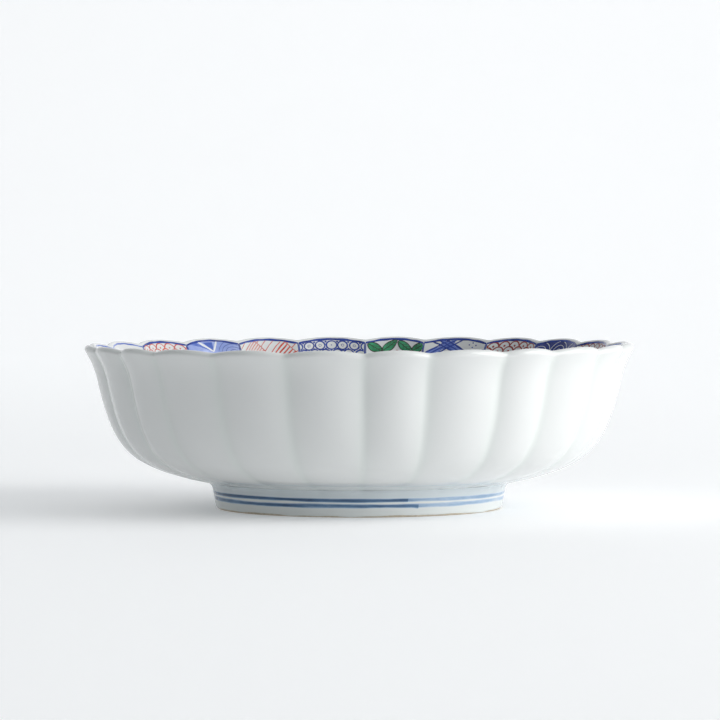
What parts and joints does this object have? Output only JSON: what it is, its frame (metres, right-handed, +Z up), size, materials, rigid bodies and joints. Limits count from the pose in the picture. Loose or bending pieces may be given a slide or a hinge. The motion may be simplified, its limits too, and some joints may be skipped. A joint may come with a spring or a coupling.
{
  "type": "porcelain serving bowl",
  "caption": "Fluted round porcelain serving bowl with scalloped lip, painted panels inside and a banded foot ring.",
  "frame": {"origin": "centre of the circle the foot ring stands on", "axes": "+Z up along the bowl's axis, -Y towards the groove that faces the viewer, +X to the viewer's right"},
  "size_m": [0.1788, 0.179, 0.0537],
  "materials": {
    "white_glaze": "clear gloss glaze on white porcelain",
    "foot_glaze": "clear gloss glaze, bare at the standing rim",
    "pooled_glaze": "thick pale blue-grey gloss glaze in the joint",
    "bare_biscuit": "unglazed fired clay, matt",
    "cobalt_blue": "cobalt painting under clear glaze",
    "iron_red": "thin overglaze enamel, semi-gloss",
    "green_enamel": "raised overglaze enamel, gloss",
    "dark_line": "fine overglaze outline, semi-gloss",
    "yellow_enamel": "raised overglaze enamel, gloss"
  },
  "bodies": {
    "root": {"bowl_body": "white_glaze", "foot_ring": "foot_glaze", "luting_slip": "pooled_glaze"}
  },
  "joints": []
}
